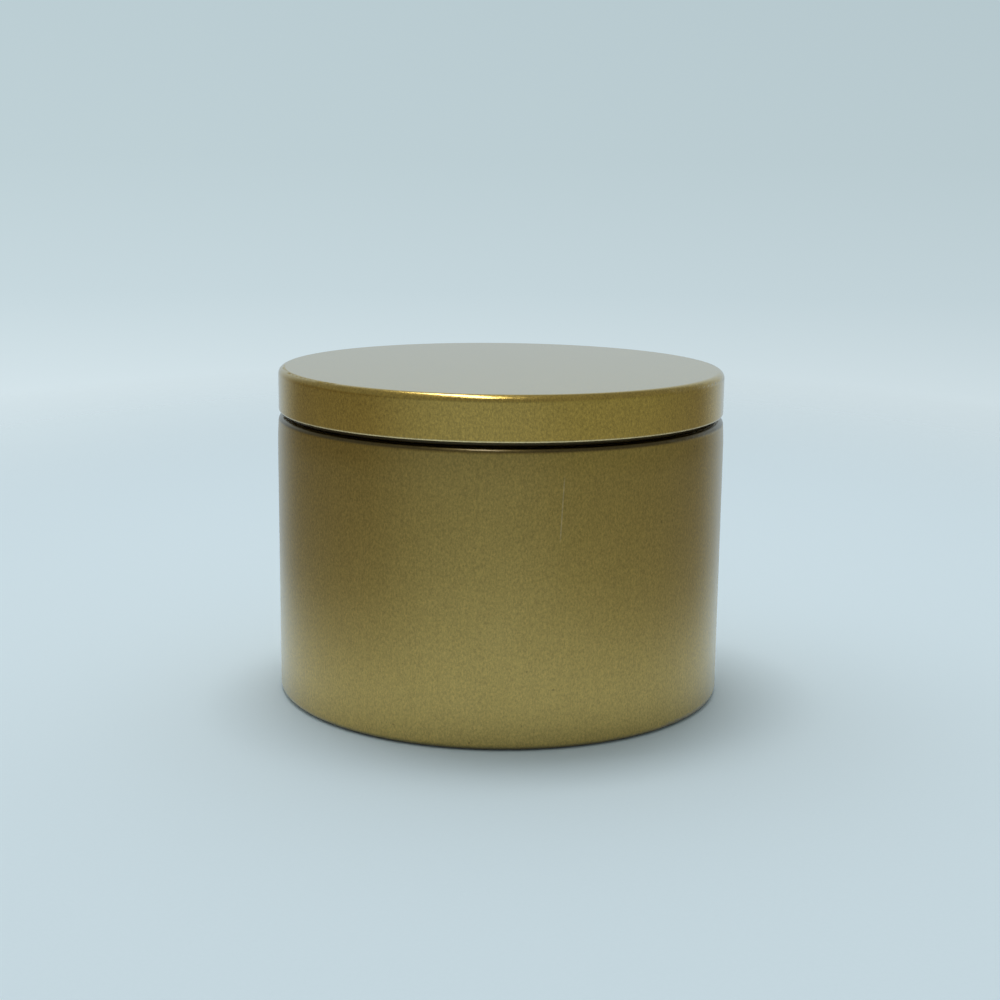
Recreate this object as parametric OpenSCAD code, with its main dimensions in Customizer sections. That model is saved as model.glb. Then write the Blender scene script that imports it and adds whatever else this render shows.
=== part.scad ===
// Round seamless candle tin with a slip lid, holding a poured container candle.
// Units are millimetres, +Z is up, and the origin is on the table at the tin's axis.

/* [Sheet] */
// Thickness of the tinplate that the tin and the lid are drawn from
sheet_t = 0.25; // [0.2:0.01:0.3]

/* [Overall] */
// Height of the closed tin, from the table to the top of the lid
closed_h = 57.5; // [50:0.5:70]

/* [Lid] */
// Outside diameter of the lid's skirt
lid_d = 78; // [70:0.5:90]
// Height of the lid, from its hem to its top panel
lid_h = 7.55; // [6:0.05:9]
// Outside radius of the bend between the lid's top panel and its skirt
lid_corner_r = 1.2; // [0.8:0.1:2]
// Outside radius of the bends of the hem that is folded in at the bottom of the skirt
hem_bend_r = 0.35; // [0.3:0.05:0.5]
// Width of the folded hem, across the skirt
hem_w = 1.4; // [1.3:0.05:1.6]
// Height of the return leg inside the hem, above its bend
hem_leg_h = 0.5; // [0.3:0.1:1]
// Height that the lid is lifted by, 0 when it is closed
lid_lift = 0; // [0:5:50]

/* [Body] */
// Distance that the tin's straight wall stands out past the lid's skirt
body_proud = 0.2; // [0.1:0.05:0.5]
// Outside radius of the bend between the wall and the base
base_corner_r = 1.25; // [1:0.05:2]
// Open slot between the lid's hem and the shoulder
hem_gap = 0.7; // [0.5:0.05:1.1]
// Radial clearance between the lid's hem and the neck
neck_clearance = 0.1; // [0.05:0.01:0.1]
// Clearance between the rim and the underside of the closed lid
seat_clearance = 0.03; // [0.02:0.01:0.05]
// Outside radius of the inward curl around the mouth
rim_curl_r = 0.75; // [0.6:0.05:0.9]
// Radius of the fillet where the neck meets the shoulder
neck_fillet_r = 0.3; // [0.2:0.05:0.35]

/* [Base] */
// Height of the recessed base panel above the table
base_recess_h = 0.8; // [0.6:0.1:1.2]
// Width of the flat foot ring that the tin stands on
foot_ring_w = 2; // [1.5:0.5:4]

/* [Candle] */
// Height of the wax surface above the table
wax_level = 45.5; // [30:0.5:46]
// Gap that the wax leaves at the upright walls as it shrinks on cooling
wax_gap = 0.05; // [0.04:0.01:0.1]
// Height that the wax climbs at the wall
meniscus_h = 0.5; // [0.3:0.1:0.8]
// Diameter of the waxed wick
wick_d = 2.6; // [2:0.1:4]
// Length of wick that stands out of the wax
wick_trim = 6.5; // [4:0.5:8]

/* [Wick tab] */
// Diameter of the metal tab at the foot of the wick
tab_d = 20; // [12:1:25]
// Thickness of the tab
tab_t = 0.3; // [0.2:0.05:0.5]
// Wall thickness of the tab's crimped collar
collar_t = 0.45; // [0.35:0.05:0.6]
// Height of the collar above the tab
collar_h = 3; // [2:0.5:6]
// Thickness of the sticky foam disc under the tab
sticker_t = 0.8; // [0.5:0.1:1.5]

/* [Hidden] */
$fn = 96;

// Outside radius of the shoulder under the lid, and the height of the gentle lean of the wall under it, with the
// distance that the lean brings the wall in by. They stay fixed, because two arcs have to meet smoothly there.
shoulder_r = 1.1;
lean_h = 4.5;
lean_in = 0.15;

lid_r = lid_d / 2;
body_r = lid_r + body_proud;
hem_z = closed_h - lid_h;
neck_r = lid_r - hem_w - neck_clearance;
rim_top_z = closed_h - sheet_t - seat_clearance;
rim_z = rim_top_z - rim_curl_r;
shoulder_z = hem_z - hem_gap;

// The lean is an arc that leaves the straight wall smoothly, and the shoulder follows on from it
lean_r = (lean_h * lean_h + lean_in * lean_in) / (2 * lean_in);
lean_a = asin(lean_h / lean_r);
shoulder_cr = body_r - lean_r + (lean_r - shoulder_r) * cos(lean_a);
shoulder_cz = shoulder_z - shoulder_r;
lean_z = shoulder_cz - (lean_r - shoulder_r) * sin(lean_a);

// The base steps up from the foot ring through two equal quarter bends
step_in_r = (base_recess_h - sheet_t) / 2;
step_out_r = step_in_r + sheet_t;
foot_inner_r = body_r - base_corner_r - foot_ring_w;
panel_r = foot_inner_r - step_out_r - step_in_r;
floor_z = base_recess_h + sheet_t;

tab_z = floor_z + sticker_t;
collar_r = wick_d / 2 + collar_t;
collar_fillet_r = 0.6;
crimp_count = 3;
crimp_depth = 0.2;
crimp_tool_r = 0.8;

lacquer_gold = [0.55, 0.49, 0.26];

// A corner of the plane: sr and sz say which quadrant it is, seen from its own origin
module quadrant(size, sr, sz) {
    translate([sr > 0 ? 0 : -size, sz > 0 ? 0 : -size]) square(size);
}

// A quarter bend of sheet about a centre, in the quadrant that sr and sz name
module sheet_bend(centre_r, centre_z, outer_r, sr, sz) {
    translate([centre_r, centre_z]) intersection() {
        difference() {
            circle(r = outer_r);
            circle(r = outer_r - sheet_t);
        }
        quadrant(outer_r, sr, sz);
    }
}

// A straight stretch of profile between two corners
module strip(r_low, z_low, r_high, z_high) {
    translate([r_low, z_low]) square([r_high - r_low, z_high - z_low]);
}

// The half plane that holds the angles from a up to a + 180 degrees, about the origin
module half_plane(size, a) {
    rotate(a) translate([-size, 0]) square([2 * size, size]);
}

module base_profile() {
    strip(0, base_recess_h, panel_r, floor_z);
    sheet_bend(panel_r, step_out_r, step_out_r, 1, 1);
    sheet_bend(foot_inner_r, step_out_r, step_out_r, -1, -1);
    strip(foot_inner_r, 0, body_r - base_corner_r, sheet_t);
    sheet_bend(body_r - base_corner_r, base_corner_r, base_corner_r, 1, -1);
}

module wall_profile() {
    strip(body_r - sheet_t, base_corner_r, body_r, lean_z);
    translate([body_r - lean_r, lean_z]) intersection() {
        difference() {
            circle(r = lean_r);
            circle(r = lean_r - sheet_t);
        }
        translate([lean_r - 1, 0]) square([2, lean_h + 1]);
        half_plane(2 * lean_r, lean_a - 180);
    }
    translate([shoulder_cr, shoulder_cz]) intersection() {
        difference() {
            circle(r = shoulder_r);
            circle(r = shoulder_r - sheet_t);
        }
        half_plane(2 * shoulder_r, lean_a);
        quadrant(2 * shoulder_r, 1, 1);
    }
}

module neck_profile() {
    ledge_r = neck_r + neck_fillet_r;
    strip(ledge_r, shoulder_z - sheet_t, shoulder_cr, shoulder_z);
    sheet_bend(ledge_r, shoulder_z + neck_fillet_r, neck_fillet_r + sheet_t, -1, -1);
    strip(neck_r - sheet_t, shoulder_z + neck_fillet_r, neck_r, rim_z);
    translate([neck_r - rim_curl_r, rim_z]) difference() {
        circle(r = rim_curl_r);
        circle(r = rim_curl_r - sheet_t);
        quadrant(2 * rim_curl_r, 1, -1);
    }
}

module tin_body() {
    color(lacquer_gold) rotate_extrude() {
        base_profile();
        wall_profile();
        neck_profile();
    }
}

module lid() {
    hem_cz = hem_z + hem_bend_r;
    hem_inner_r = lid_r - hem_w;
    color(lacquer_gold) translate([0, 0, lid_lift]) rotate_extrude() {
        strip(0, closed_h - sheet_t, lid_r - lid_corner_r, closed_h);
        sheet_bend(lid_r - lid_corner_r, closed_h - lid_corner_r, lid_corner_r, 1, 1);
        strip(lid_r - sheet_t, hem_cz, lid_r, closed_h - lid_corner_r);
        sheet_bend(lid_r - hem_bend_r, hem_cz, hem_bend_r, 1, -1);
        strip(hem_inner_r + hem_bend_r, hem_z, lid_r - hem_bend_r, hem_z + sheet_t);
        sheet_bend(hem_inner_r + hem_bend_r, hem_cz, hem_bend_r, -1, -1);
        strip(hem_inner_r, hem_cz, hem_inner_r + sheet_t, hem_cz + hem_leg_h);
    }
}

// The space under the tin's inside floor, moved out by the gap: the raised panel and the bends around it
module under_floor_profile() {
    gap_panel_r = panel_r + wax_gap;
    gap_foot_r = foot_inner_r + wax_gap;
    strip(0, 0, gap_panel_r, floor_z);
    translate([gap_panel_r, step_out_r]) intersection() {
        circle(r = step_out_r);
        quadrant(step_out_r, 1, 1);
    }
    strip(0, 0, gap_panel_r + step_out_r, step_out_r);
    difference() {
        strip(gap_foot_r - step_in_r, 0, gap_foot_r, step_out_r);
        translate([gap_foot_r, step_out_r]) circle(r = step_in_r);
    }
    strip(0, 0, body_r, sheet_t);
}

module wax_profile() {
    corner_r = base_corner_r - sheet_t;
    wax_r = body_r - sheet_t - wax_gap;
    difference() {
        union() {
            strip(0, sheet_t, wax_r - corner_r, wax_level);
            strip(0, base_corner_r, wax_r, wax_level + meniscus_h);
            translate([wax_r - corner_r, base_corner_r]) circle(r = corner_r);
        }
        strip(0, wax_level, wax_r - meniscus_h, wax_level + 1);
        translate([wax_r - meniscus_h, wax_level + meniscus_h]) circle(r = meniscus_h);
        under_floor_profile();
    }
}

// The outside of the tab, its collar and the fillet between them, about the wick
module tab_profile() {
    strip(0, tab_z, tab_d / 2, tab_z + tab_t);
    strip(0, tab_z, collar_r, tab_z + tab_t + collar_h);
    difference() {
        strip(0, tab_z, collar_r + collar_fillet_r, tab_z + tab_t + collar_fillet_r);
        translate([collar_r + collar_fillet_r, tab_z + tab_t + collar_fillet_r]) circle(r = collar_fillet_r);
    }
}

module wax() {
    color([0.93, 0.9, 0.82]) difference() {
        rotate_extrude() difference() {
            wax_profile();
            tab_profile();
            strip(0, floor_z, tab_d / 2, tab_z);
        }
        cylinder(h = wax_level + meniscus_h, d = wick_d);
    }
}

module wick() {
    color([0.96, 0.94, 0.88])
        translate([0, 0, tab_z]) cylinder(h = wax_level + wick_trim - tab_z, d = wick_d);
}

module wick_sustainer() {
    color([0.75, 0.76, 0.78]) difference() {
        rotate_extrude() tab_profile();
        cylinder(h = tab_z + tab_t + collar_h + 1, d = wick_d);
        // Crimp marks that bite into the collar around the wick
        for (i = [0 : crimp_count - 1])
            rotate(i * 360 / crimp_count)
                translate([collar_r + crimp_tool_r - crimp_depth, 0, tab_z + tab_t + collar_h * 0.65])
                    rotate([90, 0, 0]) cylinder(h = 4 * collar_r, r = crimp_tool_r, center = true);
    }
}

module wick_sticker() {
    color([0.9, 0.9, 0.88]) translate([0, 0, floor_z]) cylinder(h = sticker_t, d = tab_d);
}

tin_body();
lid();
wax();
wick();
wick_sustainer();
wick_sticker();
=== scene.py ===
import math

import bpy
from mathutils import Matrix, Vector, noise


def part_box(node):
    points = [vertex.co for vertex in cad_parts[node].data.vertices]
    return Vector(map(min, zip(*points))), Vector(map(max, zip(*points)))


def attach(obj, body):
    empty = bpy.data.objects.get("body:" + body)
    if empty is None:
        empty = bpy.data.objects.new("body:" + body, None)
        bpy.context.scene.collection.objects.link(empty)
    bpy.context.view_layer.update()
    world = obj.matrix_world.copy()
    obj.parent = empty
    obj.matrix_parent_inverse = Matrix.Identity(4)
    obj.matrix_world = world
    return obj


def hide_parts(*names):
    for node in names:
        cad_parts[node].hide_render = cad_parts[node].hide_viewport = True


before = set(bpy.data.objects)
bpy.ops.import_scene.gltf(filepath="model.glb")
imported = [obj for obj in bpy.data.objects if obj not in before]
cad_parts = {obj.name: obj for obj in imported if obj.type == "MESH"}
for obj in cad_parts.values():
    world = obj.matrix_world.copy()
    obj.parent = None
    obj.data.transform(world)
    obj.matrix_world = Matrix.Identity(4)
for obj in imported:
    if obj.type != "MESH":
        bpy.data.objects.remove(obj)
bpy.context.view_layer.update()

# Everything is in metres, in the frame of the CAD model: +Z up, origin on the table at the tin's axis.
MM = 0.001
WAX_LOW, WAX_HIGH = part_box("wax")
WICK_LOW, WICK_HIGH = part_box("wick")
TAB_LOW, TAB_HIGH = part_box("wick_sustainer")
STICKER_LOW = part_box("wick_sticker")[0]
HEM_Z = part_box("lid")[0].z

# Most of the values of a noise texture lie between these two
NOISE_LOW, NOISE_HIGH = 0.3, 0.7


# ---------------------------------------------------------------- node helpers


class Nodes:
    """A node tree, with short calls for the nodes that the materials and the surround share."""

    def __init__(self, tree, coordinates):
        self.tree = tree
        self.place = self.node("ShaderNodeTexCoord").outputs[coordinates]

    def node(self, kind, **settings):
        made = self.tree.nodes.new(kind)
        for name, value in settings.items():
            setattr(made, name, value)
        return made

    def feed(self, socket, value):
        if isinstance(value, bpy.types.NodeSocket):
            self.tree.links.new(value, socket)
        else:
            socket.default_value = value

    def math(self, operation, a, b=0.0):
        made = self.node("ShaderNodeMath", operation=operation)
        self.feed(made.inputs[0], a)
        self.feed(made.inputs[1], b)
        return made.outputs[0]

    def vector(self, operation, a, b):
        made = self.node("ShaderNodeVectorMath", operation=operation)
        self.feed(made.inputs[0], a)
        self.feed(made.inputs[1], b)
        return made.outputs["Value" if operation in ("DOT_PRODUCT", "DISTANCE") else "Vector"]

    def noise(self, size, detail=2.0, roughness=0.5, stretch=(1, 1, 1)):
        """Smooth noise from 0 to 1. Its features are about size metres across, and longer along an axis with
        a stretch below 1."""
        made = self.node("ShaderNodeTexNoise")
        self.feed(made.inputs["Vector"], self.vector("MULTIPLY", self.place, stretch))
        made.inputs["Scale"].default_value = 1 / size
        made.inputs["Detail"].default_value = detail
        made.inputs["Roughness"].default_value = roughness
        return made.outputs["Fac"]

    def remap(self, value, low, high, to_low=0.0, to_high=1.0, smooth=False):
        made = self.node("ShaderNodeMapRange")
        made.interpolation_type = "SMOOTHSTEP" if smooth else "LINEAR"
        self.feed(made.inputs["Value"], value)
        limits = {"From Min": low, "From Max": high, "To Min": to_low, "To Max": to_high}
        for name, number in limits.items():
            self.feed(made.inputs[name], number)
        return made.outputs["Result"]

    def spread(self, texture, to_low=0.0, to_high=1.0):
        """A noise texture's usual range of values, brought to the range from to_low to to_high."""
        return self.remap(texture, NOISE_LOW, NOISE_HIGH, to_low, to_high)

    def between(self, value, low, high, soft):
        """1 where the value lies between low and high, falling to 0 over soft outside them."""
        rise = self.remap(value, low - soft, low)
        fall = self.remap(value, high, high + soft, 1.0, 0.0)
        return self.math("MULTIPLY", rise, fall)

    def mix(self, factor, a, b):
        made = self.node("ShaderNodeMix", data_type="RGBA")
        self.feed(made.inputs["Factor"], factor)
        self.feed(made.inputs["A"], a)
        self.feed(made.inputs["B"], b)
        return made.outputs["Result"]

    def tone(self, shade, factor):
        made = self.node("ShaderNodeVectorMath", operation="SCALE")
        self.feed(made.inputs[0], shade)
        self.feed(made.inputs["Scale"], factor)
        return made.outputs[0]

    def split(self, vector):
        made = self.node("ShaderNodeSeparateXYZ")
        self.feed(made.inputs[0], vector)
        return made.outputs


class Paint(Nodes):
    """A material whose Principled shader is fed by the nodes."""

    def __init__(self, name):
        self.material = bpy.data.materials.new(name)
        self.material.use_nodes = True
        super().__init__(self.material.node_tree, "Object")
        self.bsdf = self.tree.nodes["Principled BSDF"]

    def bump(self, height, depth, under=None):
        """Bump of the given depth in metres, on top of another bump if there is one."""
        made = self.node("ShaderNodeBump")
        self.feed(made.inputs["Height"], height)
        made.inputs["Distance"].default_value = depth
        if under is not None:
            self.feed(made.inputs["Normal"], under)
        return made.outputs["Normal"]

    def set(self, **values):
        for name, value in values.items():
            self.feed(self.bsdf.inputs[name.replace("_", " ")], value)


def colour(red, green, blue):
    return (red, green, blue, 1.0)


# ---------------------------------------------------------------- materials


# Heights of the painted shade in the slot, which stands in for the slot's shadow, and the width of its ring
# and of its soft edges
PAINTED_SLOT_LOW, PAINTED_SLOT_HIGH = HEM_Z - 0.8 * MM, HEM_Z + 0.6 * MM
PAINTED_SLOT_WIDTH, PAINTED_SLOT_SOFT = 0.7 * MM, 0.08 * MM
PAINTED_SLOT_SHADE = 0.12
# Heights between which the painted shade at the foot fades out; it makes the contact with the floor darker,
# standing in for the contact shadow
PAINTED_FOOT_LOW, PAINTED_FOOT_HIGH = 0.1 * MM, 0.9 * MM
PAINTED_FOOT_SHADE = 0.25
# The paler outside of the lid's hem: a painted highlight, standing in for the floor's reflection
HEM_HIGHLIGHT_LOW, HEM_HIGHLIGHT_HIGH, HEM_HIGHLIGHT_SOFT = HEM_Z - 0.1 * MM, HEM_Z + 0.30 * MM, 0.1 * MM
HEM_HIGHLIGHT_IN_R, HEM_HIGHLIGHT_OUT_R = 38.75 * MM, 38.85 * MM
# Painted shade: the dark band on the body's shoulder, outside the neck, just below the lid's hem, where the
# strip light would draw a bright line
PAINTED_SHOULDER_LOW, PAINTED_SHOULDER_HIGH, PAINTED_SHOULDER_SOFT = HEM_Z - 1.3 * MM, HEM_Z - 0.5 * MM, 0.3 * MM
PAINTED_SHOULDER_IN_R, PAINTED_SHOULDER_OUT_R = 38.2 * MM, 38.4 * MM
PAINTED_SHOULDER_SHADE = 0.28
# The fine scratch on the body's front, which leans a little from upright
SCRATCH_LEAN = 0.05
SCRATCH_LEFT, SCRATCH_RIGHT, SCRATCH_SOFT = 7.76 * MM, 7.87 * MM, 0.05 * MM
SCRATCH_LOW, SCRATCH_HIGH, SCRATCH_FADE = 35.5 * MM, 43.5 * MM, 1.5 * MM


def gold_lacquer(name, thin, thick, roughness, coat_roughness, painted_slot_r, on_body):
    """Translucent gold lacquer on tinplate, between two close shades, with painted shade at the foot and a
    painted highlight along the hem.
    Painted shade darkens a ring at the slot, inside the given radius. On the body, painted shade darkens the
    shoulder too, and the front has a scratch."""
    p = Paint(name)
    x, y, z = p.split(p.place)[:3]
    flake = p.noise(0.28 * MM, detail=2.0, roughness=0.75, stretch=(1, 1, 0.6))
    peel = p.noise(0.6 * MM, detail=2.0)
    cloud = p.noise(6 * MM, detail=3.0, roughness=0.55)
    streak = p.noise(0.5 * MM, detail=3.0, roughness=0.6, stretch=(1, 1, 0.03))

    base = p.mix(p.spread(cloud), thin, thick)
    grain = p.spread(flake, 0.73, 1.27)
    drawn = p.spread(streak, 0.97, 1.03)
    speck = p.remap(p.noise(0.7 * MM, detail=0.0), 0.85, 0.90, 1.0, 0.6)
    shade = p.math("MULTIPLY", grain, drawn)
    shade = p.math("MULTIPLY", shade, speck)

    radius = p.math("SQRT", p.math("ADD", p.math("MULTIPLY", x, x), p.math("MULTIPLY", y, y)))
    # Painted shade: a dark ring in the slot between lid and body, where shadow falls, which also shows as a
    # thin line inside the neck
    slot_shadow = p.between(radius, painted_slot_r - PAINTED_SLOT_WIDTH, painted_slot_r, PAINTED_SLOT_SOFT)
    slot_shadow = p.math("MULTIPLY", slot_shadow, p.between(z, PAINTED_SLOT_LOW, PAINTED_SLOT_HIGH, PAINTED_SLOT_SOFT))
    shade = p.math("MULTIPLY", shade, p.remap(slot_shadow, 0, 1, 1.0, PAINTED_SLOT_SHADE))
    # Painted shade: darker over the foot's lowest 0.9 mm, for the contact shadow at the floor
    shade = p.math("MULTIPLY", shade, p.remap(z, PAINTED_FOOT_LOW, PAINTED_FOOT_HIGH, PAINTED_FOOT_SHADE, 1.0))
    # Painted highlight: a pale cream line on the outside of the hem, for the floor's reflection there
    hem_highlight = p.math("MULTIPLY", p.between(z, HEM_HIGHLIGHT_LOW, HEM_HIGHLIGHT_HIGH, HEM_HIGHLIGHT_SOFT),
                  p.remap(radius, HEM_HIGHLIGHT_IN_R, HEM_HIGHLIGHT_OUT_R))
    base = p.mix(p.math("MULTIPLY", hem_highlight, 0.42), base, colour(0.99, 0.88, 0.66))
    if on_body:
        # Painted shade: a dark band on the shoulder just below the lid's hem, where shadow falls
        shoulder_shadow = p.math("MULTIPLY", p.between(z, PAINTED_SHOULDER_LOW, PAINTED_SHOULDER_HIGH, PAINTED_SHOULDER_SOFT),
                      p.remap(radius, PAINTED_SHOULDER_IN_R, PAINTED_SHOULDER_OUT_R))
        shade = p.math("MULTIPLY", shade, p.remap(shoulder_shadow, 0, 1, 1.0, PAINTED_SHOULDER_SHADE))
        across = p.math("SUBTRACT", x, p.math("MULTIPLY", z, SCRATCH_LEAN))
        scratch = p.between(across, SCRATCH_LEFT, SCRATCH_RIGHT, SCRATCH_SOFT)
        scratch = p.math("MULTIPLY", scratch, p.between(z, SCRATCH_LOW, SCRATCH_HIGH, SCRATCH_FADE))
        front = p.between(y, -1.0, 0.0, 1 * MM)
        scratch = p.math("MULTIPLY", scratch, front)
        base = p.mix(p.math("MULTIPLY", scratch, 0.3), base, colour(0.95, 0.86, 0.62))

    normal = p.bump(cloud, 0.002 * MM)
    normal = p.bump(peel, 0.0012 * MM, normal)
    normal = p.bump(streak, 0.0008 * MM, normal)
    p.set(
        Base_Color=p.tone(base, shade),
        Metallic=1.0,
        Roughness=p.spread(flake, roughness - 0.03, roughness + 0.03),
        Normal=normal,
        Coat_Weight=1.0,
        Coat_Roughness=coat_roughness,
        Coat_IOR=1.5,
    )
    return p.material


def candle_wax():
    """Cream container wax, mottled, with a little frosting and fine pores."""
    p = Paint("candle_wax")
    mottle = p.noise(9 * MM, detail=4.0, roughness=0.6)
    frost = p.noise(2.2 * MM, detail=3.0, roughness=0.6)
    pore = p.noise(0.35 * MM, detail=2.0)
    base = p.mix(p.remap(mottle, 0.35, 0.65), colour(0.96, 0.88, 0.70), colour(0.92, 0.82, 0.62))
    base = p.mix(p.remap(frost, 0.56, 0.74, 0.0, 0.5), base, colour(0.90, 0.87, 0.79))
    normal = p.bump(mottle, 0.10 * MM)
    normal = p.bump(pore, 0.012 * MM, normal)
    p.set(
        Base_Color=base,
        Roughness=p.spread(frost, 0.34, 0.5),
        Normal=normal,
        Subsurface_Weight=0.35,
        Subsurface_Radius=(1.0, 0.7, 0.4),
        Subsurface_Scale=2.5 * MM,
        IOR=1.44,
    )
    return p.material


def waxed_cotton():
    """Off-white braided cotton that has soaked up wax in patches."""
    p = Paint("waxed_cotton")
    fibre = p.noise(0.12 * MM, detail=3.0, stretch=(1, 1, 0.3))
    patch = p.noise(1.6 * MM, detail=2.0)
    base = p.mix(p.spread(fibre), colour(0.93, 0.89, 0.79), colour(0.76, 0.70, 0.57))
    base = p.mix(p.remap(patch, 0.4, 0.7, 0, 0.6), base, colour(0.88, 0.84, 0.74))
    p.set(
        Base_Color=base,
        Roughness=p.spread(patch, 0.75, 0.5),
        Normal=p.bump(fibre, 0.03 * MM),
        Sheen_Weight=0.3,
        Sheen_Roughness=0.5,
    )
    return p.material


def bare_tinplate():
    """Plain tinplate with fine rolling lines along it."""
    p = Paint("bare_tinplate")
    roll = p.noise(0.25 * MM, detail=3.0, roughness=0.6, stretch=(1, 0.04, 1))
    stain = p.noise(4 * MM, detail=2.0)
    base = p.mix(p.remap(stain, 0.35, 0.65), colour(0.62, 0.63, 0.64), colour(0.50, 0.51, 0.53))
    p.set(
        Base_Color=base,
        Metallic=1.0,
        Roughness=p.spread(roll, 0.24, 0.4),
        Normal=p.bump(roll, 0.002 * MM),
    )
    return p.material


def foam_adhesive():
    """White double-sided foam."""
    p = Paint("foam_adhesive")
    cell = p.noise(0.3 * MM, detail=2.0)
    base = p.mix(cell, colour(0.84, 0.84, 0.81), colour(0.70, 0.70, 0.67))
    p.set(Base_Color=base, Roughness=p.spread(cell, 0.7, 0.95), Normal=p.bump(cell, 0.08 * MM))
    return p.material


def dress(node, material):
    """Gives a CAD node its finished material."""
    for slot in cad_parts[node].material_slots:
        slot.material = material


# ---------------------------------------------------------------- candle


def add_piece(name, verts, faces, material, body, replaced):
    """A new mesh that rides on a body, and stands for a CAD node."""
    mesh = bpy.data.meshes.new(name)
    mesh.from_pydata(verts, [], faces)
    mesh.polygons.foreach_set("use_smooth", [True] * len(mesh.polygons))
    mesh.materials.append(material)
    piece = bpy.data.objects.new(name, mesh)
    bpy.context.collection.objects.link(piece)
    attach(piece, body)
    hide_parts(replaced)


def arc(centre_r, centre_z, radius, from_degrees, to_degrees):
    """Points (r, z) along an arc of a profile, in six steps."""
    steps = 6
    points = []
    for i in range(steps + 1):
        angle = math.radians(from_degrees + (to_degrees - from_degrees) * i / steps)
        points.append((centre_r + radius * math.cos(angle), centre_z + radius * math.sin(angle)))
    return points


def add_wax():
    """The cast candle. Its top sinks a little round the wick, and climbs at the wall and at the wick."""
    bore_r = WICK_HIGH.x
    wall_r = WAX_HIGH.x
    climb = 0.5 * MM
    level = WAX_HIGH.z - climb
    corner_r = 1.0 * MM
    bottom = WAX_LOW.z
    floor = STICKER_LOW.z
    tab_thick, collar_thick = 0.3 * MM, 0.45 * MM
    tab_top = TAB_LOW.z + tab_thick
    tab_r = TAB_HIGH.x
    collar_r = bore_r + collar_thick
    fillet_r = 0.6 * MM
    foot_r = 36.0 * MM
    panel_r = 35.2 * MM
    step_small, step_large = 0.275 * MM, 0.525 * MM
    wick_climb, wick_reach = 0.45 * MM, 0.5 * MM
    wave_high, wide_wave, fine_wave = 0.14 * MM, 11 * MM, 4 * MM
    sink_deep, sink_r, sink_wide = 0.35 * MM, 4 * MM, 5 * MM
    # The waves and the sink fade out over this distance from the wick and from the wall
    calm = 2 * MM
    ring_count, crowding, segments = 40, 1.6, 144
    wall_steps, floor_steps = 6, 4

    # From the bore outwards over the top, down the wall, and back in under the candle to the bore
    top = []
    for i in range(ring_count + 1):
        r = bore_r + (wall_r - climb - bore_r) * (i / ring_count) ** crowding
        top.append((r, level + wick_climb * math.exp(-(r - bore_r) / wick_reach)))
    profile = top + arc(wall_r - climb, level + climb, climb, -90, 0)[1:]
    for i in range(wall_steps - 1, 0, -1):
        profile.append((wall_r, bottom + corner_r + (level - bottom - corner_r) * i / wall_steps))
    profile += arc(wall_r - corner_r, bottom + corner_r, corner_r, 0, -90)
    profile += arc(foot_r, bottom + step_small, step_small, 270, 180)
    profile += arc(panel_r, floor - step_large, step_large, 0, 90)[1:]
    for i in range(floor_steps - 1, -1, -1):
        profile.append((tab_r + (panel_r - tab_r) * i / floor_steps, floor))
    profile += [(tab_r, tab_top), (collar_r + fillet_r, tab_top)]
    profile += arc(collar_r + fillet_r, tab_top + fillet_r, fillet_r, 270, 180)[1:]
    profile += [(collar_r, TAB_HIGH.z), (bore_r, TAB_HIGH.z)]
    for i in range(1, wall_steps):
        profile.append((bore_r, TAB_HIGH.z + (level - TAB_HIGH.z) * i / wall_steps))

    verts = []
    for i in range(segments):
        a = 2 * math.pi * i / segments
        for j, (r, z) in enumerate(profile):
            x, y = r * math.cos(a), r * math.sin(a)
            if j <= ring_count:
                inner = min(1.0, (r - bore_r) / calm)
                outer = min(1.0, (wall_r - climb - r) / calm)
                wave = noise.noise(Vector((x, y, 0.0)) / wide_wave)
                wave += 0.4 * noise.noise(Vector((x, y, 0.01)) / fine_wave)
                sink = sink_deep * math.exp(-((r - sink_r) / sink_wide) ** 2)
                z += inner * outer * (wave_high * wave - sink)
            verts.append((x, y, z))
    n = len(profile)
    faces = []
    for i in range(segments):
        for j in range(n):
            here, beside = i * n, (i + 1) % segments * n
            up = (j + 1) % n
            faces.append((here + j, beside + j, beside + up, here + up))
    add_piece("wax_cast", verts, faces, candle_wax(), "tin", "wax")


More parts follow.
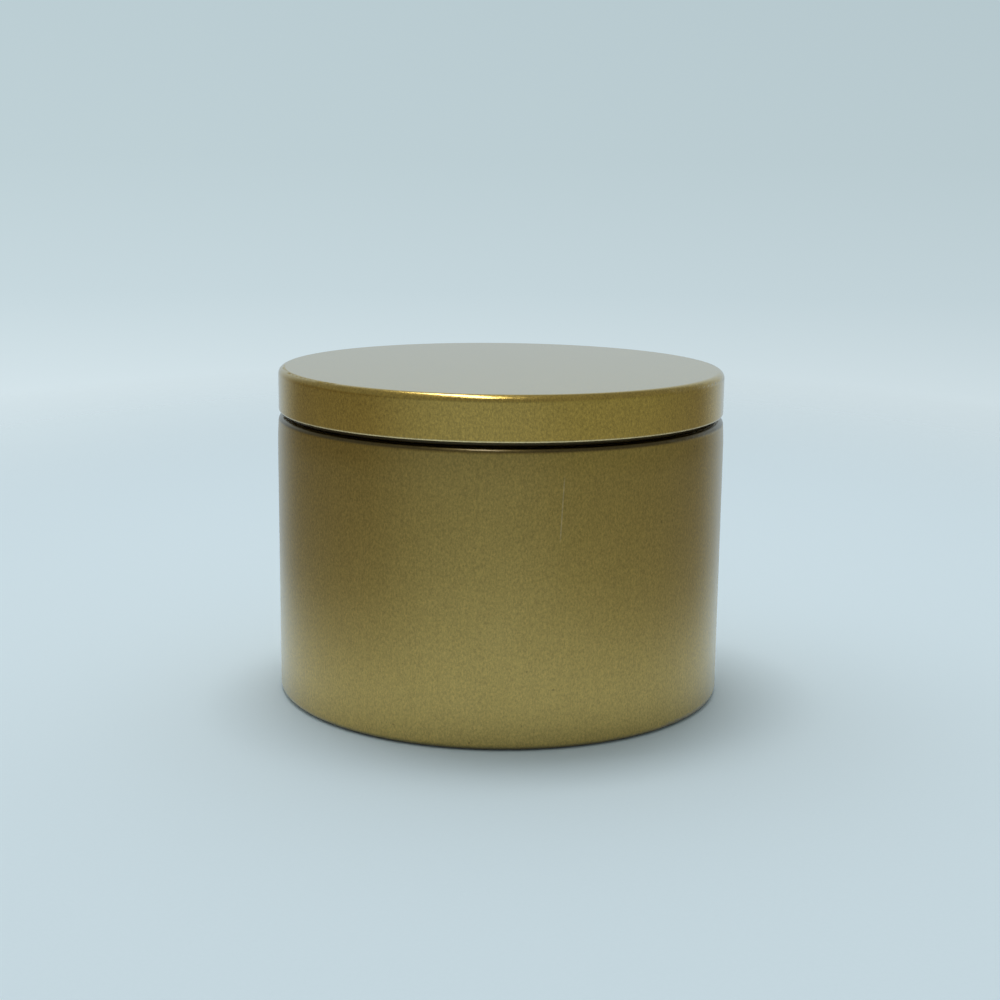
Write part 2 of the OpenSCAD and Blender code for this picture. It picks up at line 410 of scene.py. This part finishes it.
def add_wick():
    """A round cotton braid: three strands each way that pass over and under each other, on a core."""
    foot, tip = WICK_LOW.z, WICK_HIGH.z
    braid_r = WICK_HIGH.x
    thick, wide = 0.25 * MM, 0.50 * MM
    weave = 0.10 * MM
    path_r = braid_r - thick - weave
    pitch = 6.4 * MM
    strands = 3
    core_r, core_short = 0.86 * MM, 0.1 * MM
    sides, step = 10, 0.16 * MM
    rings = round((tip - foot) / step)

    verts, faces = [], []

    def add_tube(place):
        """A closed tube whose ring i is made of the points that place(i, angle) gives."""
        start = len(verts)
        for i in range(rings + 1):
            verts.extend(place(i, 2 * math.pi * k / sides) for k in range(sides))
        for i in range(rings):
            for k in range(sides):
                here, beside = start + i * sides + k, start + i * sides + (k + 1) % sides
                faces.append((here, beside, beside + sides, here + sides))
        faces.append(tuple(start + k for k in reversed(range(sides))))
        faces.append(tuple(start + rings * sides + k for k in range(sides)))

    def strand(turn, index):
        """The points of one strand. Turn is 1 or -1, for the way it winds round the core."""

        def place(i, angle):
            z = foot + (tip - foot) * i / rings
            phase = 2 * math.pi * (z - foot) / pitch
            around = turn * phase + 2 * math.pi * index / strands
            r = path_r + turn * weave * math.cos(strands * phase) + thick * math.cos(angle)
            # Across the strand is level with the surface, and square to the strand's own slope
            slope = math.atan2(2 * math.pi * path_r, pitch)
            across = wide * math.sin(angle)
            around += across * math.cos(slope) / path_r * turn
            z = min(tip, max(foot, z - across * math.sin(slope)))
            return (r * math.cos(around), r * math.sin(around), z)

        return place

    def core(i, angle):
        z = foot + (tip - core_short - foot) * i / rings
        return (core_r * math.cos(angle), core_r * math.sin(angle), z)

    for turn in (1, -1):
        for index in range(strands):
            add_tube(strand(turn, index))
    add_tube(core)
    add_piece("wick_braid", verts, faces, waxed_cotton(), "tin", "wick")


# ---------------------------------------------------------------- camera, light and floor


def add_camera():
    """The camera stands in front of the tin, a little above it, and looks down."""
    distance, height = 0.3009, 0.0931
    pitch, roll = math.radians(11.23), math.radians(0.63)
    data = bpy.data.cameras.new("camera")
    data.sensor_width = 36.0
    data.lens = 61.77
    data.clip_start, data.clip_end = 0.01, 20.0
    camera = bpy.data.objects.new("camera", data)
    camera.matrix_world = (
        Matrix.Translation((0, -distance, height))
        @ Matrix.Rotation(math.pi / 2 - pitch, 4, "X")
        @ Matrix.Rotation(roll, 4, "Z")
    )
    bpy.context.collection.objects.link(camera)
    bpy.context.scene.camera = camera


def add_softbox(name, centre, size, power, mirrored):
    """A white panel light that faces the origin. A mirrored one doesn't light matt surfaces, and one that
    isn't mirrored lights nothing else."""
    data = bpy.data.lights.new(name, "AREA")
    data.shape = "RECTANGLE"
    data.size, data.size_y = size
    data.energy = power
    light = bpy.data.objects.new(name, data)
    light.location = centre
    light.rotation_euler = (-Vector(centre)).to_track_quat("-Z", "Y").to_euler()
    light.visible_glossy = mirrored
    light.visible_diffuse = not mirrored
    bpy.context.collection.objects.link(light)


def add_world():
    """The surround, in three versions. The camera sees a pale blue sky. Mirrored rays see a room that is
    bright at the back, less so in front, and dim at the sides. Matt surfaces are lit by a glow from above
    and behind."""
    world = bpy.data.worlds.new("studio")
    world.use_nodes = True
    world.node_tree.nodes.clear()
    w = Nodes(world.node_tree, "Generated")
    sideways, _, rise = w.split(w.place)[:3]

    def towards(direction, low, high, smooth=False):
        """0 to 1, as the ray turns towards a direction."""
        return w.remap(w.vector("DOT_PRODUCT", w.place, direction), low, high, smooth=smooth)

    low = w.mix(w.remap(rise, -0.13, -0.075), colour(0.645, 0.752, 0.795), colour(0.555, 0.668, 0.712))
    low = w.mix(w.remap(rise, -0.075, 0.0), low, colour(0.505, 0.617, 0.655))
    sky = w.mix(w.remap(rise, 0.0, 0.09), low, colour(0.485, 0.597, 0.636))
    sky = w.tone(sky, w.remap(sideways, -0.3, 0.3, 1.035, 0.965))

    side_left, side_right = colour(0.135, 0.122, 0.078), colour(0.22, 0.24, 0.18)
    side = w.mix(towards((0.66, -0.75, 0), 0.1, 1.0), side_left, side_right)
    side = w.mix(w.remap(rise, -0.25, -0.13), colour(0.265, 0.285, 0.265), side)
    front_low, front_high = colour(0.285, 0.325, 0.315), colour(0.165, 0.19, 0.185)
    front = w.mix(w.remap(rise, -0.05, 0.05), front_low, front_high)
    room = w.mix(towards((-0.28, -0.96, 0), 0.55, 1.1, smooth=True), side, front)
    room = w.mix(w.remap(rise, 0.1, 0.35, smooth=True), room, colour(0.18, 0.185, 0.155))
    room = w.mix(towards((0.05, 0.999, 0), 0.48, 1.05, smooth=True), room, colour(0.47, 0.55, 0.595))

    glow = towards((-0.25, 0.78, 0.57), 0.1, 0.95, smooth=True)
    fill = w.mix(glow, colour(0.295, 0.32, 0.32), colour(0.89, 0.945, 0.985))

    ray = w.node("ShaderNodeLightPath").outputs
    unseen = w.mix(ray["Is Diffuse Ray"], room, fill)
    background = w.node("ShaderNodeBackground")
    w.feed(background.inputs["Color"], w.mix(ray["Is Camera Ray"], unseen, sky))
    output = w.node("ShaderNodeOutputWorld")
    w.feed(output.inputs["Surface"], background.outputs[0])
    bpy.context.scene.world = world


def add_floor():
    """A pale floor that fades into the surround, sooner in reflections than in the camera's own view."""
    radius = 3.0
    mesh = bpy.data.meshes.new("floor")
    corners = [(-radius, -radius, 0), (radius, -radius, 0), (radius, radius, 0), (-radius, radius, 0)]
    mesh.from_pydata(corners, [], [(0, 1, 2, 3)])
    floor = bpy.data.objects.new("floor", mesh)
    bpy.context.collection.objects.link(floor)
    p = Paint("floor_paper")
    narrower = (1.6, 1, 1)
    away = p.vector("DISTANCE", p.vector("MULTIPLY", p.place, narrower), (0, 0, 0))
    seen_far = p.remap(away, 0.22, 0.5, smooth=True)
    mirrored_far = p.remap(away, 0.05, 0.21, smooth=True)
    mirrored = p.node("ShaderNodeLightPath").outputs["Is Glossy Ray"]
    fade = p.math("ADD", p.math("MULTIPLY", mirrored, mirrored_far),
                  p.math("MULTIPLY", p.math("SUBTRACT", 1.0, mirrored), seen_far))
    grain = p.noise(0.6 * MM)
    p.set(
        Base_Color=p.mix(grain, colour(0.75, 0.87, 0.925), colour(0.77, 0.89, 0.945)),
        Roughness=0.85,
        Specular_IOR_Level=0.1,
        Normal=p.bump(grain, 0.01 * MM),
    )
    clear = p.node("ShaderNodeBsdfTransparent")
    blend = p.node("ShaderNodeMixShader")
    p.feed(blend.inputs[0], fade)
    p.feed(blend.inputs[1], p.bsdf.outputs[0])
    p.feed(blend.inputs[2], clear.outputs[0])
    p.feed(p.tree.nodes["Material Output"].inputs["Surface"], blend.outputs[0])
    mesh.materials.append(p.material)


# ---------------------------------------------------------------- assembly

add_camera()
add_world()
add_softbox("key", (-0.025, 0.08, 0.62), (0.26, 0.15), 0.98, mirrored=False)
add_softbox("strip", (-0.09, -0.012, 0.62), (0.62, 0.085), 1.2, mirrored=True)
add_floor()
bpy.context.scene.view_settings.view_transform = "Standard"

BODY_SHADES = colour(0.565, 0.395, 0.105), colour(0.548, 0.383, 0.098)
# Painted light: the lid's lacquer is about 1.44 times as bright as the body's, standing in for the brighter
# light on the lid
LID_SHADES = colour(0.815, 0.575, 0.145), colour(0.795, 0.560, 0.136)
# Outer radii of the painted slot shade: on the body's neck and inside the lid's hem
NECK_PAINTED_SLOT_R, HEM_PAINTED_SLOT_R = 38.1 * MM, 38.75 * MM
dress("tin_body", gold_lacquer("gold_lacquer_body", *BODY_SHADES, 0.34, 0.22, NECK_PAINTED_SLOT_R, True))
dress("lid", gold_lacquer("gold_lacquer_lid", *LID_SHADES, 0.24, 0.12, HEM_PAINTED_SLOT_R, False))
dress("wick_sustainer", bare_tinplate())
dress("wick_sticker", foam_adhesive())
add_wax()
add_wick()
